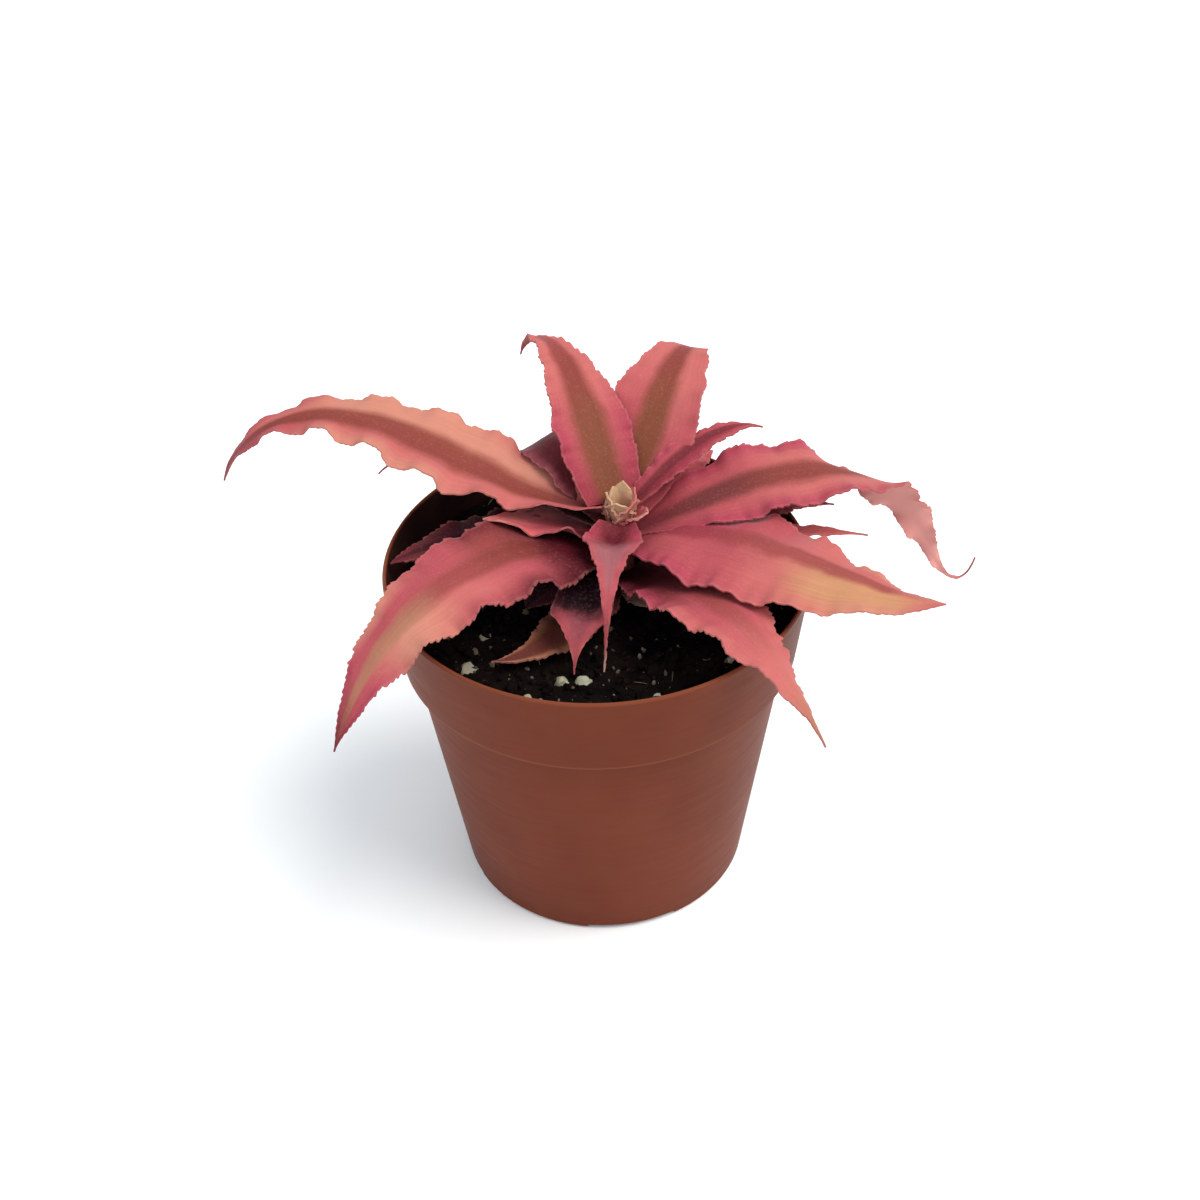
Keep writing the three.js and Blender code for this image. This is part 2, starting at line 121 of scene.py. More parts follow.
# %% Light
SKY_COLOUR = (0.86, 0.945, 1.0)
SKY_STRENGTH = 0.86
PAINT = 0.59
WINDOW = {"toward": (0.65, -0.15, 1.0), "strength": 2.9, "spread": 45, "colour": (1, 0.965, 0.92)}
FILL = {"toward": (-0.7, -0.8, 0.7), "strength": 0.55, "spread": 70, "colour": (1, 0.97, 0.95)}


def add_sun(name, toward, strength, spread, colour):
    """A sun lamp that shines from the direction `toward`, spread over a wide angle."""
    bpy.ops.object.light_add(type="SUN")
    lamp = bpy.context.object
    lamp.name = name
    lamp.data.energy = strength
    lamp.data.angle = math.radians(spread)
    lamp.data.color = colour
    lamp.rotation_euler = Vector(toward).to_track_quat("Z", "Y").to_euler()
    return lamp


add_sun("window_light", **WINDOW)
add_sun("fill_light", **FILL)

world = bpy.context.scene.world or bpy.data.worlds.new("sky")
bpy.context.scene.world = world
world.use_nodes = True
sky = world.node_tree.nodes["Background"]
sky.inputs["Color"].default_value = (*SKY_COLOUR, 1)
sky.inputs["Strength"].default_value = SKY_STRENGTH
bpy.context.scene.view_settings.view_transform = "Standard"

# %% [markdown]
# ## Helpers
#
# Loading the frame leaves its nodes selected, and an operator acts on all that is selected.
# So every piece starts by selecting nothing. `blend` is the smooth run through a few values
# that shapes every leaf: De Casteljau's rule, worked out for many places at once.

# %% Selecting, finishing and placing
def start_clean(piece=None):
    """Leaves edit mode and selects only the given piece, if any."""
    if bpy.context.object and bpy.context.object.mode == "EDIT":
        bpy.ops.object.mode_set(mode="OBJECT")
    bpy.ops.object.select_all(action="DESELECT")
    if piece:
        piece.select_set(True)
        bpy.context.view_layer.objects.active = piece


def apply_modifiers(piece):
    """Applies every modifier of a piece, in order."""
    start_clean(piece)
    for modifier in list(piece.modifiers):
        bpy.ops.object.modifier_apply(modifier=modifier.name)


def smooth(piece, angle):
    """Smooth shading, with edges sharper than the angle kept."""
    start_clean(piece)
    bpy.ops.object.shade_smooth_by_angle(angle=math.radians(angle))


def join(pieces, name):
    """Joins pieces into the first one."""
    start_clean(pieces[0])
    for piece in pieces:
        piece.select_set(True)
    bpy.ops.object.join()
    pieces[0].name = name
    return pieces[0]


def place(piece, node):
    """Lets a piece ride on the body and stand for its node, whose solid it hides."""
    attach(piece, BODY)
    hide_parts(node)


def read_points(piece):
    """The piece's points as an array with one row each."""
    flat = np.empty(len(piece.data.vertices) * 3)
    piece.data.vertices.foreach_get("co", flat)
    return flat.reshape(-1, 3)


def write_points(piece, points):
    """Moves the piece's points to the rows of the array."""
    piece.data.vertices.foreach_set("co", points.ravel())
    piece.data.update()


def dent(piece, depth, pace):
    """Pushes every point about by smooth noise, up to the depth in mm."""
    points = read_points(piece)
    for point in points:
        point += depth * MM * np.array(noise.noise_vector(Vector(point) * pace))
    write_points(piece, points)


def triangles(piece):
    """How many triangles a piece's mesh has."""
    return sum(len(face.vertices) - 2 for face in piece.data.polygons)


def blend(values, t):
    """A smooth run from the first value to the last, pulled towards those between."""
    row = [np.full_like(t, value) for value in values]
    while len(row) > 1:
        row = [a + (b - a) * t for a, b in zip(row, row[1:])]
    return row[0]


# %% [markdown]
# The floor is a plain pale plane. It is stage, not part of the object.

# %% Floor
FLOOR_SIZE = 4.0
FLOOR_COLOUR = (0.94, 0.94, 0.94, 1)

start_clean()
bpy.ops.mesh.primitive_plane_add(size=FLOOR_SIZE)
floor = bpy.context.object
floor.name = "floor"
floor_paint = bpy.data.materials.new("floor_paint")
floor_paint.use_nodes = True
floor_shader = floor_paint.node_tree.nodes["Principled BSDF"]
floor_shader.inputs["Base Color"].default_value = FLOOR_COLOUR
floor_shader.inputs["Roughness"].default_value = 1.0
floor_shader.inputs["Specular IOR Level"].default_value = 0.0
floor.data.materials.append(floor_paint)
print("floor is", FLOOR_SIZE, "m wide")

# %% [markdown]
# ## Materials
#
# Materials are node trees. The small helpers below add a node, set its inputs and wire it in
# one line, so that a recipe reads like a sum. Colours are named as a painter would mix them,
# in 8-bit values, and `shade` turns them into the linear values that shaders expect.

# %% Node helpers
def shade(red, green, blue):
    """An 8-bit screen colour as a linear one, with alpha, toned down by PAINT."""
    def linear(value):
        value /= 255
        return PAINT * (value / 12.92 if value <= 0.04045 else ((value + 0.055) / 1.055) ** 2.4)
    return (linear(red), linear(green), linear(blue), 1)


class Recipe:
    """A material's node tree, with short ways to add and wire nodes."""

    def __init__(self, name):
        self.material = bpy.data.materials.new(name)
        self.material.use_nodes = True
        self.tree = self.material.node_tree
        self.shader = self.tree.nodes["Principled BSDF"]
        coordinates = self.node("TexCoord")
        self.uv = coordinates.outputs["UV"]
        self.solid = coordinates.outputs["Object"]

    def node(self, kind, **settings):
        """Adds a node and sets its options."""
        node = self.tree.nodes.new("ShaderNode" + kind)
        for key, value in settings.items():
            setattr(node, key, value)
        return node

    def wire(self, source, target):
        """Links an output to an input, or sets the input to a plain value."""
        if isinstance(source, bpy.types.NodeSocket):
            self.tree.links.new(source, target)
        else:
            target.default_value = source

    def set(self, name, source):
        """Wires a value or an output to the shader's own input of that name."""
        self.wire(source, self.shader.inputs[name])

    def math(self, operation, *terms):
        """One step of arithmetic."""
        node = self.node("Math", operation=operation)
        for term, socket in zip(terms, node.inputs):
            self.wire(term, socket)
        return node.outputs[0]

    def ease(self, value, low, high):
        """0 below low, 1 above high, a smooth step between; the other way if high < low."""
        node = self.node("MapRange", interpolation_type="SMOOTHSTEP")
        self.wire(value, node.inputs["Value"])
        node.inputs["From Min"].default_value = min(low, high)
        node.inputs["From Max"].default_value = max(low, high)
        node.inputs["To Min"].default_value = float(high < low)
        node.inputs["To Max"].default_value = float(high > low)
        return node.outputs["Result"]

    def mix(self, amount, first, second, blend_type="MIX"):
        """Mixes two colours."""
        node = self.node("Mix", data_type="RGBA", blend_type=blend_type)
        self.wire(amount, node.inputs[0])
        self.wire(first, node.inputs[6])
        self.wire(second, node.inputs[7])
        return node.outputs[2]

    def noise(self, coordinates, scale, detail=3.0, rough=0.55):
        """Cloudy noise between 0 and 1."""
        node = self.node("TexNoise")
        self.wire(coordinates, node.inputs["Vector"])
        node.inputs["Scale"].default_value = scale
        node.inputs["Detail"].default_value = detail
        node.inputs["Roughness"].default_value = rough
        return node.outputs["Fac"]

    def stretch(self, coordinates, factors, shift=(0, 0, 0)):
        """Coordinates drawn out or squeezed along their axes, and shifted."""
        node = self.node("Mapping")
        self.wire(coordinates, node.inputs["Vector"])
        node.inputs["Scale"].default_value = factors
        node.inputs["Location"].default_value = shift
        return node.outputs["Vector"]

    def run(self, position, colours):
        """A smooth run through colours, evenly spaced between 0 and 1."""
        node = self.node("ValToRGB")
        ramp = node.color_ramp
        ramp.interpolation = "EASE"
        for _ in range(len(colours) - 2):
            ramp.elements.new(0.5)
        for i, colour in enumerate(colours):
            ramp.elements[i].position = i / (len(colours) - 1)
            ramp.elements[i].color = colour
        self.wire(position, node.inputs[0])
        return node.outputs[0]

    def bump(self, height, strength, distance):
        """Fine relief in the shading."""
        node = self.node("Bump")
        node.inputs["Strength"].default_value = strength
        node.inputs["Distance"].default_value = distance
        self.wire(height, node.inputs["Height"])
        self.set("Normal", node.outputs["Normal"])


# %% [markdown]
# ### Leaf skin
#
# An earth star's leaf is firm and faintly waxy. A brown or olive band runs along its middle,
# the sides are salmon or peach, the margins and the root are a stronger pink, and the tip
# turns mauve. Fine veins run lengthwise, and pale scurf lies on it in specks.
#
# The pattern follows the blade, so it reads the blade's own UV map: U runs across, from the
# left margin (0) to the right one (1), and V runs from the root (0) to the tip (1). A leaf's
# colours are runs from root to tip, along its left side, its middle band, its right side and
# its two margins. Each run is a few words from one palette, as a painter would note them.

# %% Palette and leaf skin
PALETTE = {
    # ink is near black: it paints the deep shade at some roots and on the low leaves.
    "ink": shade(34, 12, 20),
    "plum": shade(80, 34, 44),
    "wine": shade(92, 22, 34),
    "garnet": shade(132, 52, 60),
    "crimson": shade(172, 66, 78),
    "magenta": shade(196, 74, 98),
    "rose": shade(206, 94, 102),
    "salmon": shade(224, 120, 116),
    "peach": shade(232, 152, 130),
    "apricot": shade(226, 160, 118),
    "blush": shade(234, 184, 168),
    "petal": shade(255, 170, 162),
    # coral is a painted light: a brighter pink for the half of leaf_left_small that lies in the shadow
    # of leaf_left_long.
    "coral": shade(255, 122, 122),
    "brick": shade(174, 80, 78),
    "tan": shade(196, 134, 106),
    "olive": shade(140, 82, 54),
    "brown": shade(152, 70, 60),
    "umber": shade(124, 62, 60),
    "mauve": shade(164, 84, 96),
    "lilac": shade(184, 110, 116),
    "cream": shade(240, 200, 156),
    "sand": shade(234, 166, 144),
    "moss": shade(184, 142, 96),
}
SCURF = shade(230, 196, 184)
MARGIN_LINE = shade(226, 160, 150)
TOOTH_PINK = shade(196, 104, 100)
STRAY = 0.24
STRAY_SHARE = 0.6
MARGIN_POWER = 0.8
GRAIN_TONE = 0.4
CLOUD_TONE = 0.2
DARKEST_TONE = 0.7
DUST_POWER = 0.1
SPECK_POWER = 0.12
MARGIN_LINE_POWER = 0.15
TOOTH_POWER = 0.4
LEAF_SHEEN = 0.05

Skin = namedtuple("Skin", "left middle right margin band power shift")


def leaf_skin(name, skin, seed=0.0):
    """A leaf's upper face. The runs of a skin are words from the palette, from root to tip."""
    recipe = Recipe(name)
    split = recipe.node("SeparateXYZ")
    recipe.wire(recipe.uv, split.inputs[0])
    across, along = split.outputs[0], split.outputs[1]
    edge = recipe.math("ABSOLUTE", recipe.math("MULTIPLY_ADD", across, 2.0, -1.0))

    wander = recipe.noise(recipe.stretch(recipe.uv, (2.5, 9, 1), (seed, seed, 0)), 1.0, 4)
    loose = recipe.math("MULTIPLY_ADD", wander, STRAY, -STRAY / 2)
    loose_along = recipe.math("MULTIPLY_ADD", loose, STRAY_SHARE, along)
    loose_across = recipe.math("MULTIPLY_ADD", loose, STRAY_SHARE, across)
    off_band = recipe.math(
        "ABSOLUTE", recipe.math("MULTIPLY_ADD", loose_across, 2.0, -1.0 - skin.shift))

    left, middle, right, margin = [
        recipe.run(loose_along, [PALETTE[word] for word in words.split()])
        for words in (skin.left, skin.middle, skin.right, skin.margin)
    ]
    colour = recipe.mix(recipe.ease(loose_across, 0.35, 0.65), left, right)
    near_margin = recipe.math("ADD", edge, loose)
    at_margin = recipe.math("MULTIPLY", recipe.ease(near_margin, 0.55, 0.95), MARGIN_POWER)
    colour = recipe.mix(at_margin, colour, margin)
    in_band = recipe.math(
        "MULTIPLY", recipe.ease(off_band, skin.band * 1.5, skin.band * 0.5), skin.power)
    colour = recipe.mix(in_band, colour, middle)

    grain = recipe.noise(recipe.stretch(recipe.uv, (70, 4, 1), (seed, 0, 0)), 1.0, 4, 0.6)
    cloud = recipe.noise(recipe.solid, 110.0, 5, 0.65)
    tone = recipe.math(
        "MULTIPLY_ADD", cloud, CLOUD_TONE, recipe.math("MULTIPLY_ADD", grain, GRAIN_TONE, DARKEST_TONE))
    streaks = recipe.node("CombineColor")
    for channel in range(3):
        recipe.wire(tone, streaks.inputs[channel])
    colour = recipe.mix(1.0, colour, streaks.outputs[0], "MULTIPLY")

    dust = recipe.noise(recipe.solid, 1500.0, 3, 0.7)
    cells = recipe.node("TexVoronoi")
    recipe.wire(recipe.solid, cells.inputs["Vector"])
    cells.inputs["Scale"].default_value = 480.0
    specks = recipe.math(
        "MULTIPLY",
        recipe.ease(cells.outputs["Distance"], 0.16, 0.05),
        recipe.ease(cloud, 0.52, 0.62))
    scurf = recipe.math(
        "MULTIPLY_ADD", recipe.ease(dust, 0.5, 0.75), DUST_POWER,
        recipe.math("MULTIPLY", specks, SPECK_POWER))
    colour = recipe.mix(scurf, colour, SCURF)
    on_line = recipe.math("MULTIPLY", recipe.ease(edge, 0.95, 0.99), MARGIN_LINE_POWER)
    colour = recipe.mix(on_line, colour, MARGIN_LINE)
    on_tooth = recipe.math("MULTIPLY", recipe.ease(edge, 1.0, 1.03), TOOTH_POWER)
    colour = recipe.mix(on_tooth, colour, TOOTH_PINK)
    recipe.set("Base Color", colour)
    recipe.set("Roughness", recipe.math("MULTIPLY_ADD", cloud, 0.3, 0.38))
    recipe.set("Specular IOR Level", LEAF_SHEEN)
    relief = recipe.math("MULTIPLY_ADD", dust, 0.35, grain)
    recipe.bump(recipe.math("MULTIPLY_ADD", specks, 0.4, relief), 0.3, 0.25 * MM)
    return recipe.material


# %% [markdown]
# ### Leaf underside
#
# The underside wears a coat of tiny silvery scales, so it looks pale and matt, with fine
# lengthwise lines. It has one run of colours from root to tip.

# %% Underside
SCALE_POWER = 0.3


def underside(name, words):
    """The silvery back of a leaf: a run of colours under lines of pale scales."""
    recipe = Recipe(name)
    split = recipe.node("SeparateXYZ")
    recipe.wire(recipe.uv, split.inputs[0])
    ground = recipe.run(split.outputs[1], [PALETTE[word] for word in words.split()])
    lines = recipe.noise(recipe.stretch(recipe.uv, (70, 5, 1)), 1.0, 4, 0.6)
    patches = recipe.noise(recipe.solid, 90.0, 4)
    amount = recipe.math(
        "MULTIPLY", recipe.ease(lines, 0.3, 0.7), recipe.ease(patches, 0.3, 0.7))
    recipe.set("Base Color", recipe.mix(recipe.math("MULTIPLY", amount, SCALE_POWER), ground, SCURF))
    recipe.set("Roughness", recipe.math("MULTIPLY_ADD", lines, 0.3, 0.5))
    recipe.set("Specular IOR Level", LEAF_SHEEN)
    recipe.bump(lines, 0.3, 0.2 * MM)
    return recipe.material


PALE_BACK = underside("leaf_back_pale", "garnet rose salmon rose")
# The dark back is painted shade under the low leaves in shadow; under the aged leaf on the soil its
# dull brown is also that leaf's own colour.
DARK_BACK = underside("leaf_back_dark", "plum umber mauve")
FADING_BACK = underside(
    "leaf_back_fading",
    "garnet crimson crimson rose rose salmon petal petal petal petal salmon umber")
BACKS = {"leaf_shaded": DARK_BACK, "leaf_rose": PALE_BACK, "leaf_aged": DARK_BACK}
OWN_BACKS = {"leaf_right_long": FADING_BACK, "leaf_left_small": PALE_BACK}
print("materials:", len(bpy.data.materials))

# %% [markdown]
# ## Leaves
#
# A leaf could be drawn by hand with a curve and a taper, or sculpted. Here it is a grid whose
# points are moved by a formula, because the solids were made by the same formula and the
# twins then fit them. A row of the grid is a cross-section of the blade, a column runs from
# root to tip, and a Solidify modifier gives it a body.
#
# Each leaf is a line in the table: where it leaves the stem, its length and width, how the
# midrib climbs, swings and rolls on its way to the tip, how far the halves fold up, the
# outline, and the waves of the two margins (their number, then height and phase of the left
# and the right one).

# %% The table of leaves
Leaf = namedtuple("Leaf", "bearing z length width climb swing roll fold belly base taper point waves")
LEAVES = {
    "leaf_front_upper": Leaf(
        -99.5, 102, 47, 14.5, (-25, 85, -15, -110, -60), (10, -5),
        (0,), (30, 10, 0),
        0.26, 0.7, 0.75, 1.9, (3, 0.2, 0, 0.2, 0.5)),
    "leaf_back_right": Leaf(
        68, 101.2, 67, 24, (28, 56, 28, -90), (-2, 0),
        (3, 2, 0), (8, 8, 5),
        0.3, 0.5, 1.6, 1.1, (4, 0.5, 0.35, 0.5, 0.4)),
    "leaf_back_left": Leaf(
        112, 103.4, 70, 20, (40, 44, 34, -6, -70), (-10, 15),
        (0, 15, 15), (15, 10, 0),
        0.3, 0.75, 1.1, 1.15, (7, 0.8, 0.6, 0.4, 0.3)),
    "leaf_right_raised": Leaf(
        35, 104, 41, 8.5, (27, 30, 20, -30), (0, -15),
        (0,), (20, 5, 0),
        0.4, 0.5, 1.7, 1.2, (3, 0.4, 0, 0.4, 0.5)),
    "leaf_left_long": Leaf(
        170, 103, 111, 25, (0, 45, 12, -70), (-32, 25),
        (10, -10, 6, -15), (40, -12, -4, 10),
        0.35, 0.42, 1.2, 1.05, (7.25, 1.8, 0.45, 1.2, 0.15)),
    "leaf_right_long": Leaf(
        10, 97.5, 130, 23, (12, 34, 14, -33, -108, -92, 24), (4, -11, 53),
        (0, 20, 90, -190, -20, -60), (24, -20, 0, 0),
        0.42, 0.5, 1.1, 2.4, (8, 1.6, 0.4, 1.2, 0.1)),
    "leaf_left_small": Leaf(
        186, 97, 31, 18, (15, 25, 15, 15), (12, 0),
        (12, 18, 15), (10, 10, 5),
        0.3, 0.7, 1.75, 1, (2.1, 1.5, 0.41, 0.4, 0.5)),
    "leaf_right_front": Leaf(
        -20, 97.5, 80, 34, (15, 20, -20, 0), (-30, 5),
        (-10, 5, -10), (5, -25, -25),
        0.35, 0.6, 1.8, 1, (5, 1.4, 0.4, 1, 0.3)),
    "leaf_left_front": Leaf(
        215, 94.5, 97, 28, (25, 30, -32, -60), (4, 17),
        (-5, 5, -10), (5, -5, -15),
        0.25, 0.5, 2, 1.25, (6, 1.8, 0.25, 0.8, 0.55)),
    "leaf_front_right": Leaf(
        -55, 87, 82, 23, (23, 36, -17, -49), (-5, 0),
        (5, -5, -40), (15, -10, -25),
        0.4, 0.6, 1.55, 1.35, (6, 0.5, 0, 1, 0.75)),
    "leaf_front_lower": Leaf(
        -112, 90.5, 44, 13.5, (40, 20, -25, -70), (5, 12),
        (0,), (25, 10, 0),
        0.7, 0.4, 0.8, 1.7, (3, 0.2, 0, 0.2, 0.5)),
    "leaf_back_shaded": Leaf(
        130, 97, 36, 15, (40, 50, 20, -60), (0, 5),
        (0,), (20, 10, 0),
        0.5, 0.4, 3, 0.5, (4, 0.5, 0.2, 0.5, 0.6)),
    "leaf_left_under": Leaf(
        156, 97.5, 68.5, 11, (26, 22, 2, -52), (0, 0),
        (0,), (15, 5, 0),
        0.35, 0.5, 1.8, 1.8, (5, 0.6, 0.1, 0.6, 0.5)),
    "leaf_left_low": Leaf(
        176, 91, 54, 20, (12, 14, 0, -16), (4, 26),
        (0,), (15, 5, 0),
        0.35, 0.4, 1.8, 1.1, (4, 0.6, 0, 0.6, 0.4)),
    "leaf_left_shaded": Leaf(
        215, 91, 26, 14, (15, 5, -15, -40), (0, 0),
        (0,), (12, 4, 0),
        0.45, 0.5, 2.4, 0.9, (2, 0.4, 0, 0.4, 0.4)),
    "leaf_on_soil": Leaf(
        244, 87.4, 46, 14, (0, -10, 0, 12), (0, -48),
        (0,), (14, 10, 6),
        0.4, 0.5, 1.6, 1.3, (3, 0.3, 0, 0.3, 0.4)),
    "leaf_front_pale": Leaf(
        -72, 86.5, 13, 8, (0, -5, -5, 0), (0, 10),
        (0,), (12, 6, 0),
        0.4, 0.6, 2, 0.8, (2, 0.2, 0, 0.2, 0.4)),
    "leaf_right_under": Leaf(
        2, 91.3, 58, 9, (5, 11, 0, -14), (0, 0),
        (0,), (15, 5, 0),
        0.35, 0.5, 1.8, 1.5, (4, 0.5, 0, 0.5, 0.4)),
    "leaf_right_shaded": Leaf(
        20, 93.2, 54, 14, (6, 4, -2, -18), (0, -10),
        (0,), (15, 5, 0),
        0.4, 0.5, 1.8, 1.4, (4, 0.5, 0.3, 0.5, 0.1)),
    "leaf_behind_right": Leaf(
        60, 94, 50, 18, (20, 15, -10, -50), (0, 0),
        (0,), (15, 5, -5),
        0.35, 0.4, 1.8, 1.1, (4, 0.8, 0.3, 0.8, 0)),
    "leaf_behind": Leaf(
        92, 92, 68, 20, (20, 15, -10, -50), (0, 0),
        (0,), (15, 5, -5),
        0.35, 0.4, 1.8, 1.1, (4, 0.8, 0.6, 0.8, 0.2)),
    "leaf_behind_left": Leaf(
        143, 92.5, 60, 17, (20, 15, -5, -40), (0, 0),
        (0,), (15, 5, -5),
        0.35, 0.4, 1.8, 1.1, (4, 0.8, 0.1, 0.8, 0.7)),
}
print("leaves in the table:", len(LEAVES))

# %% [markdown]
# ### From a line of the table to a blade
#
# The midrib comes first. It walks from the root in equal steps and adds them up, so every
# leaf keeps its true length however it bends. On the way it notes which way is ahead, left
# and over, and the rest of the blade is laid out along those three.

# %% Midrib
STEM_X, STEM_Y = 6.0, 6.0
ROOT_REACH = 4.0


def midrib(leaf, s, root_reach):
    """The midrib's points at the shares s of its length, and the ways ahead, left and over."""
    climb = np.radians(blend(leaf.climb, s))
    heading = np.radians(leaf.bearing + blend((0, *leaf.swing), s))
    roll = np.radians(blend(leaf.roll, s))
    ahead = np.stack(
        [np.cos(climb) * np.cos(heading), np.cos(climb) * np.sin(heading), np.sin(climb)], 1)
    level = np.stack([-np.sin(heading), np.cos(heading), np.zeros_like(s)], 1)
    lift = np.cross(ahead, level)
    left = level * np.cos(roll)[:, None] + lift * np.sin(roll)[:, None]
    over = lift * np.cos(roll)[:, None] - level * np.sin(roll)[:, None]
    steps = (ahead[1:] + ahead[:-1]) / 2 * leaf.length / (len(s) - 1)
    bearing = math.radians(leaf.bearing)
    root = np.array([
        STEM_X + root_reach * math.cos(bearing), STEM_Y + root_reach * math.sin(bearing), leaf.z])
    middle = root + np.concatenate([np.zeros((1, 3)), np.cumsum(steps, 0)])
    return middle, ahead, left, over


# %% [markdown]
# The outline swells from the root to the belly and narrows to the tip. Between its waves the
# margin has uneven lobes. Each swells slowly and drops back quickly towards the tip, and
# their lengths and heights are drawn at random for each margin.

# %% Outline
TIP_HALF_WIDTH = 0.15
LOBE_LENGTHS = (4.5, 10.0)
LOBE_HEIGHT = 0.9
LOBE_SKEW = 1.6


def half_width(leaf, s):
    """Half the blade's width at each share s of its length."""
    grow = leaf.base + (1 - leaf.base) * np.sin(np.pi / 2 * np.minimum(s / leaf.belly, 1))
    past = np.clip((s - leaf.belly) / (1 - leaf.belly), 0, 1)
    shrink = np.maximum(1 - past ** leaf.taper, 0) ** leaf.point
    return np.maximum(leaf.width / 2 * grow * shrink, TIP_HALF_WIDTH)


def lobes(draw, length, along):
    """How far a margin's lobes stand out, at distances along the leaf, in mm."""
    ends = np.cumsum(draw.uniform(*LOBE_LENGTHS, 2 + int(length / LOBE_LENGTHS[0])))
    starts = np.concatenate([[0], ends])
    which = np.searchsorted(ends, along)
    share = (along - starts[which]) / (starts[which + 1] - starts[which])
    heights = draw.uniform(0.1, 1.0, len(starts)) * LOBE_HEIGHT
    return heights[which] * np.sin(np.pi * share ** LOBE_SKEW)


# %% [markdown]
# A blade is thickest at the midrib, and its margin and tip are thin. A vertex group tells the
# Solidify modifier how much of the thickness each point gets. The upper face gets the first
# skin and the lower face the last.

# %% Body
MIDRIB_THICKNESS = 1.1
MARGIN_SHARE = 0.4


def thicken(piece, shares, skins):
    """Gives a flat blade its body and skins. Each point gets its share of the thickness."""
    for skin in skins:
        piece.data.materials.append(skin)
    body = piece.vertex_groups.new(name="body")
    for i, share in enumerate(shares):
        body.add([i], float(share), "REPLACE")
    solid = piece.modifiers.new("body", "SOLIDIFY")
    solid.thickness = MIDRIB_THICKNESS * MM
    solid.offset = 0
    solid.vertex_group = "body"
    solid.material_offset = len(skins) - 1
    apply_modifiers(piece)
    piece.vertex_groups.clear()
    smooth(piece, 60)


# %% [markdown]
# Now the blade itself. In the grid, s says how far along a point lies and c how far across,
# from 1 at the left margin to -1 at the right one. A row falls every 0.4 mm, four to a tooth.
# The teeth point forward, and no two are quite alike: their sizes are drawn at random. The
# margins carry the leaf's own waves and, over them, finer ripples.

# %% The blade function
COLUMNS = 24
TOOTH_SPACING = 1.6
ROWS_PER_TOOTH = 4
FEWEST_TEETH = 4
TOOTH_HEIGHT = 0.42
TOOTH_SLANT = 1.1
TOOTH_ROOT = 0.955
TOOTH_CREST = 0.6
RIPPLE_HEIGHT = 0.35
FOLD_SOFTNESS = 0.12


def make_blade(name, leaf, skins, root_reach=ROOT_REACH, seed=1, spiny=1.0):
    """A closed, toothed blade with its UV map and skins, at its place on the stem."""
    teeth = max(FEWEST_TEETH, round(leaf.length / TOOTH_SPACING))
    rows = teeth * ROWS_PER_TOOTH
    start_clean()
    bpy.ops.mesh.primitive_grid_add(x_subdivisions=COLUMNS, y_subdivisions=rows, size=2)
    piece = bpy.context.object
    piece.name = name
    flat = read_points(piece)
    row = np.rint((flat[:, 1] + 1) / 2 * rows).astype(int)
    c = -flat[:, 0]
    outer = np.abs(c) > 1 - 1 / COLUMNS
    c = np.where(outer, np.sign(c), c * TOOTH_ROOT / (1 - 2 / COLUMNS))
    on_left = c > 0
    side = np.where(on_left, 0, 1)

    s = np.arange(rows + 1) / rows
    middle, ahead, left, over = midrib(leaf, s, root_reach)
    fold = np.radians(blend(leaf.fold, s))
    half = half_width(leaf, s)

    draw = np.random.default_rng(seed)
    size = draw.uniform(0.1, 1.0, (teeth + 1, 2))[np.arange(rows + 1) // ROWS_PER_TOOTH]
    size *= spiny * (1.3 - 0.7 * s)[:, None]
    beat = np.arange(rows + 1) % ROWS_PER_TOOTH / ROWS_PER_TOOTH
    profile = np.interp(beat, (0, TOOTH_CREST, 1), (0, 1, 0)) * np.minimum(1, half / 3)
    count, left_height, left_phase, right_height, right_phase = leaf.waves
    calm = np.minimum(1, 5 * s) * np.minimum(1, 3 * (1 - s))
    ripple_beat = draw.uniform(2.6, 3.4) * count
    ripple_shift = draw.uniform(0, 6.28, 2)
    bulge = np.stack([lobes(draw, leaf.length, s * leaf.length) for _ in range(2)], 1)
    bulge *= (calm * np.minimum(1, half / 8))[:, None]

    tooth = np.where(outer, profile[row] * size[row, side] * TOOTH_HEIGHT, 0)
    reach = half[row] * c + np.sign(c) * (tooth + np.abs(c) ** 3 * bulge[row, side])
    height = np.where(on_left, left_height, right_height)
    phase = np.where(on_left, left_phase, right_phase)
    wave = height * calm[row] * c ** 2 * np.sin(2 * np.pi * (count * s[row] + phase))
    ripple = np.sin(2 * np.pi * ripple_beat * s[row] + ripple_shift[side])
    wave += RIPPLE_HEIGHT * calm[row] * c ** 4 * ripple
    soft = half[row] * (np.sqrt(c ** 2 + FOLD_SOFTNESS ** 2) - FOLD_SOFTNESS)
    points = (
        middle[row]
        + left[row] * (reach * np.cos(fold[row]))[:, None]
        + over[row] * (soft * np.sin(fold[row]) + wave)[:, None]
        + ahead[row] * (tooth * TOOTH_SLANT)[:, None])
    write_points(piece, points * MM)

    corner = np.empty(len(piece.data.loops), int)
    piece.data.loops.foreach_get("vertex_index", corner)
    across = 0.5 - (c + np.sign(c) * tooth / half[row]) / 2
    piece.data.uv_layers[0].data.foreach_set(
        "uv", np.stack([across[corner], s[row][corner]], 1).ravel())
    thicken(piece, 1 - (1 - MARGIN_SHARE) * np.maximum(np.abs(c), s[row] ** 2), skins)
    return piece
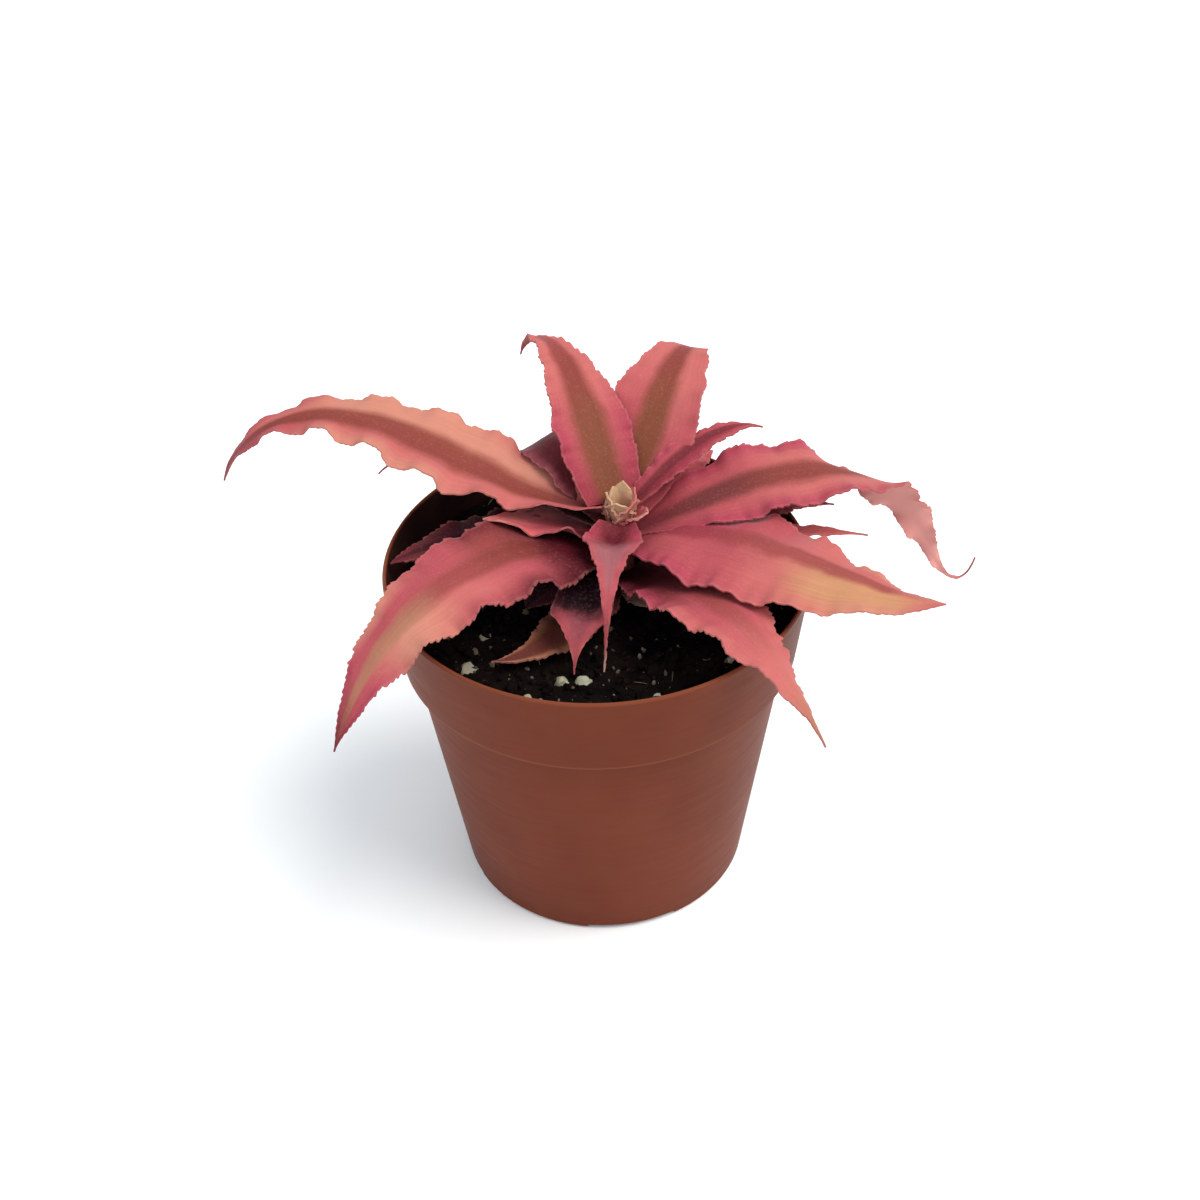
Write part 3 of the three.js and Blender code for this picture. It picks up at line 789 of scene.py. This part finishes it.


# %% [markdown]
# ### Skins and placing
#
# Every leaf has its own colours. The large ones are salmon and rose. The low ones are painted dark, a
# painted shade for the shadow they lie in; the aged leaf on the soil is also brown of its own. Some
# leaves are spinier than the rest, and two have their own undersides.

# %% Colours of each leaf
FAR_SKIN = Skin(
    "garnet rose salmon", "umber brown mauve", "garnet rose salmon", "crimson rose",
    0.4, 0.8, 0.0)
SKINS = {
    "leaf_left_long": Skin(
        "rose salmon salmon salmon rose mauve", "umber brown brown brown brown mauve",
        "rose peach peach peach salmon mauve", "rose salmon peach peach rose mauve",
        0.38, 0.92, -0.08),
    "leaf_back_left": Skin(
        "crimson rose salmon salmon lilac", "olive olive brown brick mauve",
        "crimson rose salmon salmon mauve", "crimson magenta salmon salmon mauve",
        0.46, 0.9, 0.0),
    "leaf_back_right": Skin(
        "rose rose salmon salmon", "olive olive brown rose", "rose rose salmon salmon lilac",
        "crimson rose salmon salmon", 0.35, 0.9, 0.0),
    "leaf_right_raised": Skin(
        "crimson rose rose rose", "garnet garnet garnet crimson", "garnet crimson crimson rose",
        "crimson magenta rose rose", 0.4, 0.9, -0.05),
    "leaf_right_long": Skin(
        "crimson rose salmon salmon salmon salmon umber",
        "garnet umber brown brown rose salmon umber",
        "garnet rose salmon salmon salmon salmon umber",
        "crimson magenta magenta rose salmon salmon umber", 0.32, 0.9, 0.0),
    "leaf_right_front": Skin(
        "wine magenta rose salmon salmon salmon", "garnet crimson brick brick brick peach",
        "garnet rose rose salmon apricot apricot salmon",
        "magenta magenta rose salmon peach salmon", 0.2, 0.85, -0.05),
    # The wine and garnet at its root are painted shade.
    "leaf_front_right": Skin(
        "garnet rose rose salmon tan", "wine garnet brick salmon tan",
        "wine garnet rose salmon tan", "garnet magenta salmon salmon tan", 0.3, 0.8, 0.0),
    # The wine and ink at its root are painted shade from the leaves above, darker than its own deep
    # red.
    "leaf_left_front": Skin(
        "wine wine rose salmon peach rose garnet", "wine wine brown brick tan tan garnet",
        "ink plum brick rose rose rose garnet", "wine wine garnet rose peach magenta garnet",
        0.26, 0.85, 0.0),
    # The garnet and wine at its root are painted shade, for the hollow below the heart.
    "leaf_front_upper": Skin(
        "garnet crimson lilac rose rose rose blush", "garnet wine lilac lilac rose rose blush",
        "garnet crimson lilac rose rose rose blush", "crimson magenta rose rose rose salmon blush",
        0.5, 0.8, 0.0),
    # Ink from the root to past the middle is painted shade; only the hanging tip is lit.
    "leaf_front_lower": Skin(
        "ink ink ink ink ink ink rose rose rose", "ink ink ink ink ink ink mauve rose rose",
        "ink ink ink ink ink ink rose rose rose", "ink ink ink ink ink plum rose salmon salmon",
        0.5, 0.8, 0.0),
    # leaf_left_small: the wine at its root is painted shade in its dark channel, and the coral is
    # painted light on the half under leaf_left_long.
    "leaf_left_small": Skin(
        "wine wine crimson rose salmon", "wine garnet crimson salmon salmon",
        "garnet crimson coral coral coral", "wine wine rose coral petal", 0.35, 0.8, 0.0),
    # The dark skins of the low leaves below, down to leaf_on_soil, are painted shade for the shadow
    # they lie in; the olive, umber and tan of leaf_on_soil are its own aged colour.
    "leaf_back_shaded": Skin(
        "garnet garnet mauve", "garnet garnet garnet", "garnet garnet mauve", "garnet mauve mauve",
        0.5, 0.8, 0.0),
    "leaf_left_under": Skin(
        "ink plum mauve", "ink plum mauve", "ink plum mauve", "plum mauve", 0.3, 0.8, 0.0),
    "leaf_left_low": Skin(
        "ink ink plum garnet", "ink ink ink plum", "ink ink plum garnet", "plum plum garnet",
        0.3, 0.8, 0.0),
    "leaf_left_shaded": Skin("ink plum", "ink ink", "ink plum", "ink plum", 0.3, 0.8, 0.0),
    "leaf_on_soil": Skin(
        "ink plum olive umber", "ink ink umber umber", "ink plum olive umber",
        "ink umber tan tan", 0.5, 0.8, 0.0),
    "leaf_front_pale": Skin("mauve lilac", "mauve blush", "mauve blush", "mauve blush", 0.3, 0.5, 0.0),
    "leaf_right_under": Skin(
        "garnet rose salmon", "wine rose salmon", "garnet rose salmon", "rose salmon",
        0.3, 0.8, 0.0),
    # The wine and ink of leaf_right_shaded are painted shade in its hollow.
    "leaf_right_shaded": Skin(
        "wine wine crimson", "ink wine crimson", "wine wine crimson", "wine crimson",
        0.3, 0.8, 0.0),
    "leaf_behind_right": FAR_SKIN,
    "leaf_behind": FAR_SKIN,
    "leaf_behind_left": Skin(
        "plum rose salmon", "umber brown mauve", "plum rose salmon", "crimson rose",
        0.4, 0.8, 0.0),
}
print("skins:", len(SKINS))

# %% Build the leaves
SPINY = {
    "leaf_left_low": 2.6, "leaf_left_front": 2.2, "leaf_front_right": 2.0, "leaf_on_soil": 1.7,
    "leaf_right_long": 1.3, "leaf_right_raised": 1.3, "leaf_right_shaded": 1.8,
}
SEED_STEP = 3.7

slot_of = {part["node"]: part["material_slot"] for part in frame["record"]["subparts"]}
for order, (name, leaf) in enumerate(LEAVES.items()):
    back = OWN_BACKS.get(name, BACKS[slot_of[name]])
    front = leaf_skin(name + "_skin", SKINS[name], seed=order * SEED_STEP)
    piece = make_blade(
        name + "_blade", leaf, [front, back], seed=order + 1, spiny=SPINY.get(name, 1.0))
    place(piece, name)
    print(piece.name, triangles(piece))

# %% [markdown]
# ## Stem and heart
#
# The stem is short and hidden. Round its tip stand the youngest leaves, cream and still
# green at the edge. They come from the same blade function, only short and steep.

# %% Heart
STEM_RADIUS = 3.4
STEM_FOOT = 62.0
STEM_TOP = 101.5
STEM_SIDES = 32
HEART_RING = 1.9
YOUNG_SKINS = {
    "cream": Skin(
        "moss sand cream", "moss cream cream", "moss sand cream", "moss sand cream",
        0.5, 0.5, 0.0),
    "blush": Skin(
        "moss sand salmon", "moss cream peach", "moss sand salmon", "cream sand salmon",
        0.4, 0.5, 0.0),
    "pink": Skin(
        "rose rose salmon", "rose rose salmon", "rose rose salmon", "rose rose blush",
        0.4, 0.5, 0.0),
}
HEART_LEAVES = (
    (255, 76, 8.5, 9, "cream"),
    (325, 68, 9, 9, "blush"),
    (190, 78, 10, 8, "cream"),
    (70, 82, 11, 8, "cream"),
    (20, 74, 10, 8, "blush"),
    (130, 84, 10, 7.5, "cream"),
    (-35, 42, 9, 8, "pink"),
)
YOUNG_ROOT = STEM_TOP - 2
YOUNG_FOLD = (35, 20, 5)
YOUNG_OUTLINE = (0.4, 0.8, 2.2, 1.0)
YOUNG_WAVES = (2.5, 0.5, 0.2, 0.5, 0.7)
YOUNG_SPINY = 0.3
YOUNG_SEED = 50
YOUNG_SKIN_SEED = 70
YOUNG_SEED_STEP = 3.1

young_skin = {
    word: leaf_skin("heart_" + word, skin, seed=YOUNG_SKIN_SEED + i * YOUNG_SEED_STEP)
    for i, (word, skin) in enumerate(YOUNG_SKINS.items())
}
start_clean()
bpy.ops.mesh.primitive_cylinder_add(
    vertices=STEM_SIDES, radius=STEM_RADIUS * MM, depth=(STEM_TOP - STEM_FOOT) * MM,
    location=(STEM_X * MM, STEM_Y * MM, (STEM_TOP + STEM_FOOT) / 2 * MM))
stem = bpy.context.object
bpy.ops.object.transform_apply(location=True)
stem.data.materials.append(young_skin["pink"])
smooth(stem, 40)
young = []
for i, (bearing, lean, length, width, word) in enumerate(HEART_LEAVES):
    leaf = Leaf(
        bearing, YOUNG_ROOT, length, width, (lean + 8, lean + 4, lean), (0,), (0,),
        YOUNG_FOLD, *YOUNG_OUTLINE, YOUNG_WAVES)
    young.append(make_blade(
        "young_leaf", leaf, [young_skin[word]], root_reach=HEART_RING,
        seed=YOUNG_SEED + i, spiny=YOUNG_SPINY))
heart = join([stem, *young], "stem_and_young_leaves")
place(heart, "stem_and_heart")
print("heart:", triangles(heart), "triangles")

# %% [markdown]
# ## Pot
#
# A nursery pot is moulded from thin plastic. It is round, so it could be lathed with the
# Screw modifier; here a circle is extruded and resized ring by ring, as one would do by hand.
# Starting from a filled circle, the last ring closes the floor inside. Two paler lines follow the
# height, along the rim and along the lower edge of the collar: a painted highlight where these edges
# catch the light.
# The inside wall gets a second, darker material: painted shade for the dim inside of the pot.

# %% Plastic
COLLAR_LINE = ((69.9 * MM, 70.1 * MM), (71.2 * MM, 70.5 * MM))
RIM_LINE = (92.2 * MM, 92.9 * MM)
EDGE_HIGHLIGHT_POWER = 0.3

plastic = Recipe("pot_plastic")
plastic_split = plastic.node("SeparateXYZ")
plastic.wire(plastic.solid, plastic_split.inputs[0])
up_pot = plastic_split.outputs[2]
mottle = plastic.noise(plastic.solid, 35.0, 5)
scuffs = plastic.noise(plastic.stretch(plastic.solid, (60, 60, 900)), 1.0, 4, 0.65)
plastic_ground = plastic.mix(
    plastic.ease(mottle, 0.3, 0.75), shade(124, 53, 27), shade(134, 60, 33))
on_collar = plastic.math("MULTIPLY", *[plastic.ease(up_pot, *edge) for edge in COLLAR_LINE])
on_rim = plastic.ease(up_pot, *RIM_LINE)
# The paler colour on the rim and collar lines is a painted highlight.
edge_highlight = plastic.math("MULTIPLY", plastic.math("MAXIMUM", on_collar, on_rim), EDGE_HIGHLIGHT_POWER)
plastic.set("Base Color", plastic.mix(edge_highlight, plastic_ground, shade(180, 108, 80)))
plastic.set("Roughness", plastic.math("MULTIPLY_ADD", scuffs, 0.3, 0.34))
plastic.set("Specular IOR Level", 0.1)
plastic.bump(scuffs, 0.12, 0.1 * MM)

# The dark brown of the inside wall is painted shade.
inside_shade = Recipe("pot_inside")
inside_shade.set("Base Color", inside_shade.mix(
    inside_shade.ease(inside_shade.noise(inside_shade.solid, 60.0, 4), 0.3, 0.7), shade(46, 22, 20), shade(72, 36, 30)))
inside_shade.set("Roughness", 0.6)
inside_shade.set("Specular IOR Level", 0.2)
print("pot materials:", plastic.material.name, inside_shade.material.name)

# %% Rings of the pot
POT_RINGS = (
    (36.7, 0), (37.5, 0.8), (47.2, 70), (49.4, 70), (49.8, 70.4), (52.4, 91.7), (52.5, 92.5),
    (52.2, 93), (51.7, 93), (51.5, 92.5), (48.8, 71), (46.2, 71), (36.5, 2.2),
)
POT_SIDES = 128

start_clean()
bpy.ops.mesh.primitive_circle_add(vertices=POT_SIDES, radius=POT_RINGS[0][0] * MM, fill_type="NGON")
pot = bpy.context.object
pot.name = "nursery_pot"
bpy.ops.object.mode_set(mode="EDIT")
bpy.ops.mesh.select_all(action="SELECT")
for (radius, height), (next_radius, next_height) in zip(POT_RINGS, POT_RINGS[1:]):
    rise = (next_height - height) * MM
    bpy.ops.mesh.extrude_region_move(TRANSFORM_OT_translate={"value": (0, 0, rise)})
    grow = next_radius / radius
    bpy.ops.transform.resize(value=(grow, grow, 1), center_override=(0, 0, 0))
bpy.ops.mesh.select_all(action="SELECT")
bpy.ops.mesh.normals_make_consistent(inside=False)
bpy.ops.object.mode_set(mode="OBJECT")
print("rings:", len(POT_RINGS))

# %% [markdown]
# Water leaves through drain holes in the floor and through notches in the foot, so both are cut with
# one Boolean. Then the faces that look inward, between floor and rim, get the darker inside material, a
# painted shade.

# %% Notches, drain holes and skins
NOTCHES = 4
NOTCH_BEARING = -80
NOTCH_RADIUS = 37.5
NOTCH_SIZE = (10, 23.2, 1.6)
DRAIN_RADIUS = 3
DRAIN_RING = 25
DRAIN_SIDES = 32
DRAIN_DEPTH = 10
INWARD = -5


def round_pot(radius, bearing):
    """The place on the pot's foot at a radius in mm and a bearing."""
    return (radius * math.cos(bearing) * MM, radius * math.sin(bearing) * MM, 0)


cutters = []
for i in range(NOTCHES):
    bearing = math.radians(NOTCH_BEARING + 360 / NOTCHES * i)
    start_clean()
    bpy.ops.mesh.primitive_cube_add(
        size=1, scale=(NOTCH_SIZE[0] * MM, NOTCH_SIZE[1] * MM, 2 * NOTCH_SIZE[2] * MM),
        location=round_pot(NOTCH_RADIUS, bearing), rotation=(0, 0, bearing))
    cutters.append(bpy.context.object)
    bpy.ops.mesh.primitive_cylinder_add(
        vertices=DRAIN_SIDES, radius=DRAIN_RADIUS * MM, depth=DRAIN_DEPTH * MM,
        location=round_pot(DRAIN_RING, bearing))
    cutters.append(bpy.context.object)
cutter = join(cutters, "notches_and_drains")
cut = pot.modifiers.new("cut", "BOOLEAN")
cut.operation = "DIFFERENCE"
cut.object = cutter
apply_modifiers(pot)
bpy.data.objects.remove(cutter)

pot.data.materials.append(plastic.material)
pot.data.materials.append(inside_shade.material)
middles = np.array([face.center for face in pot.data.polygons]) / MM
facing = np.array([face.normal for face in pot.data.polygons])
inward = (middles[:, :2] * facing[:, :2]).sum(1) < INWARD
inside = inward & (middles[:, 2] > POT_RINGS[-1][1]) & (middles[:, 2] < POT_RINGS[-4][1])
pot.data.polygons.foreach_set("material_index", inside.astype(int))
smooth(pot, 25)
place(pot, "pot")
print("pot:", triangles(pot), "triangles, inside faces:", int(inside.sum()))

# %% [markdown]
# ## Potting mix
#
# The mix is peat and fine bark, nearly black when damp, with white perlite. Its body starts
# as a ball: the rings of a UV sphere are spread over the top, down the wall and under the
# base, so the mesh stays closed. Each swell of its top is a noise with its own pace, layer
# and height. Crumbs lie on it.

# %% Body of the mix
SOIL_TOP = 83.0
SOIL_SHARES = (0, 0.78, 0.8, 0.86, 0.88, 0.96, 1)
SOIL_RADII = (0, 49.6, 50.0, 48.6, 45.9, 36.2, 0)
SOIL_HEIGHTS = (SOIL_TOP, SOIL_TOP, SOIL_TOP - 0.6, 71.6, 71.3, 2.5, 2.5)
SOIL_SEGMENTS = 280
SOIL_ROUNDS = 90
SWELLS = ((0.12, 3.0, 1.0), (0.5, 7.0, 0.7), (1.3, 5.0, 0.5))

mix = Recipe("potting_mix")
mix_grain = mix.noise(mix.solid, 700.0, 5, 0.7)
mix_patch = mix.noise(mix.solid, 120.0, 3)
mix_colour = mix.mix(mix.ease(mix_patch, 0.3, 0.7), shade(14, 11, 11), shade(34, 25, 22))
mix.set("Base Color", mix.mix(mix.ease(mix_grain, 0.6, 0.76), mix_colour, shade(96, 80, 70)))
mix.set("Roughness", 0.95)
mix.set("Specular IOR Level", 0.03)
mix.bump(mix_grain, 0.8, 0.5 * MM)

start_clean()
bpy.ops.mesh.primitive_uv_sphere_add(segments=SOIL_SEGMENTS, ring_count=SOIL_ROUNDS, radius=1)
soil = bpy.context.object
soil.name = "mix_body"
ball = read_points(soil)
share = np.arccos(np.clip(ball[:, 2], -1, 1)) / math.pi
turning = np.arctan2(ball[:, 1], ball[:, 0])
radii = np.interp(share, SOIL_SHARES, SOIL_RADII)
heights = np.interp(share, SOIL_SHARES, SOIL_HEIGHTS)
points = np.stack([radii * np.cos(turning), radii * np.sin(turning), heights], 1)


def mix_lift(x, y):
    """How far the top of the mix rises or sinks at a place: slow, quick and fine swells."""
    return sum(
        height * noise.noise(Vector((x * pace, y * pace, layer))) for pace, layer, height in SWELLS)


for i in np.nonzero(share < SOIL_SHARES[1])[0]:
    points[i, 2] += mix_lift(points[i, 0], points[i, 1])
write_points(soil, points * MM)
soil.data.materials.append(mix.material)
smooth(soil, 60)
place(soil, "soil")
print("mix body:", triangles(soil), "triangles")

# %% [markdown]
# Crumbs of bark and peat give the top its coarse look. Each is an ico sphere of 20 faces,
# flattened, turned and dented; one in eight is a long, thin fibre, and one in five is pale,
# a chip of bark or perlite. They are added in edit mode, so that they are one piece.

# %% Crumbs
CRUMB_SEED = 11
CRUMBS = 1900
CRUMB_FACES = 20
CRUMB_REACH = 49.0
CRUMB_SIZES = (0.3, 1.8)
CRUMB_SKEW = 2.5
CRUMB_LIFT = 0.3
CRUMB_DENT = 0.3
FIRST_CRUMB = 0.5
FIRST_PLACE = (0, 40, SOIL_TOP)
FIBRE_EVERY = 8
PALE_EVERY = 5
PALE_SHRINK = 0.6

chip = Recipe("bark_chip")
chip_tones = [shade(70, 48, 36), shade(120, 100, 80), shade(200, 196, 186)]
chip.set("Base Color", chip.run(chip.noise(chip.solid, 260.0, 2), chip_tones))
chip.set("Roughness", 0.9)
chip.set("Specular IOR Level", 0.1)

draw = np.random.default_rng(CRUMB_SEED)
start_clean()
bpy.ops.mesh.primitive_ico_sphere_add(
    subdivisions=1, radius=FIRST_CRUMB * MM, location=Vector(FIRST_PLACE) * MM)
crumbs = bpy.context.object
crumbs.name = "mix_crumbs"
bpy.ops.object.transform_apply(location=True)
bpy.ops.object.mode_set(mode="EDIT")
for i in range(1, CRUMBS):
    reach = CRUMB_REACH * math.sqrt(draw.uniform(0.02, 1))
    angle = draw.uniform(0, 2 * math.pi)
    x, y = reach * math.cos(angle), reach * math.sin(angle)
    radius = CRUMB_SIZES[0] + (CRUMB_SIZES[1] - CRUMB_SIZES[0]) * draw.uniform() ** CRUMB_SKEW
    turn = tuple(draw.uniform(0, 6.28, 3))
    stretch = tuple(draw.uniform(0.5, 1.3, 3))
    if i % FIBRE_EVERY == 0:
        radius = draw.uniform(0.5, 0.9)
        turn = (0, draw.uniform(-0.2, 0.2), turn[2])
        stretch = (draw.uniform(2.5, 5), 0.3, 0.3)
    if i % PALE_EVERY == 0:
        radius *= PALE_SHRINK
    bpy.ops.mesh.primitive_ico_sphere_add(
        subdivisions=1, radius=radius * MM, rotation=turn, scale=stretch,
        location=(x * MM, y * MM, (SOIL_TOP + mix_lift(x, y) + CRUMB_LIFT * radius) * MM))
bpy.ops.object.mode_set(mode="OBJECT")
dent(crumbs, CRUMB_DENT, 700)
crumbs.data.materials.append(mix.material)
crumbs.data.materials.append(chip.material)
pale = np.arange(len(crumbs.data.polygons)) // CRUMB_FACES % PALE_EVERY == 0
crumbs.data.polygons.foreach_set("material_index", pale.astype(int))
smooth(crumbs, 25)
place(crumbs, "soil")
print("crumbs:", triangles(crumbs), "triangles")

# %% [markdown]
# Perlite is puffed volcanic glass: white, dull, rounded lumps with a rough skin.

# %% Perlite
PERLITE_SIZE = 2.2
PERLITE_SQUASH = (1, 0.9, 0.8)
PERLITE_SINK = 0.3
PERLITE_DENT = 0.9
PERLITE = (
    (-9, -33, 0.85), (-4, -33.5, 0.95), (-31, -28, 1), (-27.5, -16, 0.7), (-17, -38, 0.5),
    (13, -39, 0.55), (31, -27, 0.6), (-38, 12, 0.55), (24, 32, 0.6), (-20, 34, 0.6),
)

glassy = Recipe("perlite_white")
pits = glassy.noise(glassy.solid, 900.0, 4, 0.6)
tinge = glassy.ease(glassy.noise(glassy.solid, 60.0), 0.4, 0.6)
glassy.set("Base Color", glassy.mix(tinge, shade(196, 190, 176), shade(184, 184, 140)))
glassy.set("Roughness", 0.8)
glassy.bump(pits, 0.7, 0.4 * MM)

grains = []
for x, y, size in PERLITE:
    start_clean()
    bpy.ops.mesh.primitive_ico_sphere_add(
        subdivisions=3, radius=PERLITE_SIZE * size * MM, scale=PERLITE_SQUASH,
        location=(x * MM, y * MM, (SOIL_TOP - PERLITE_SINK) * MM))
    grain = bpy.context.object
    bpy.ops.object.transform_apply(location=True, scale=True)
    dent(grain, PERLITE_DENT * size, 600)
    grains.append(grain)
perlite = join(grains, "perlite")
perlite.data.materials.append(glassy.material)
smooth(perlite, 60)
place(perlite, "soil")
print("perlite:", triangles(perlite), "triangles")
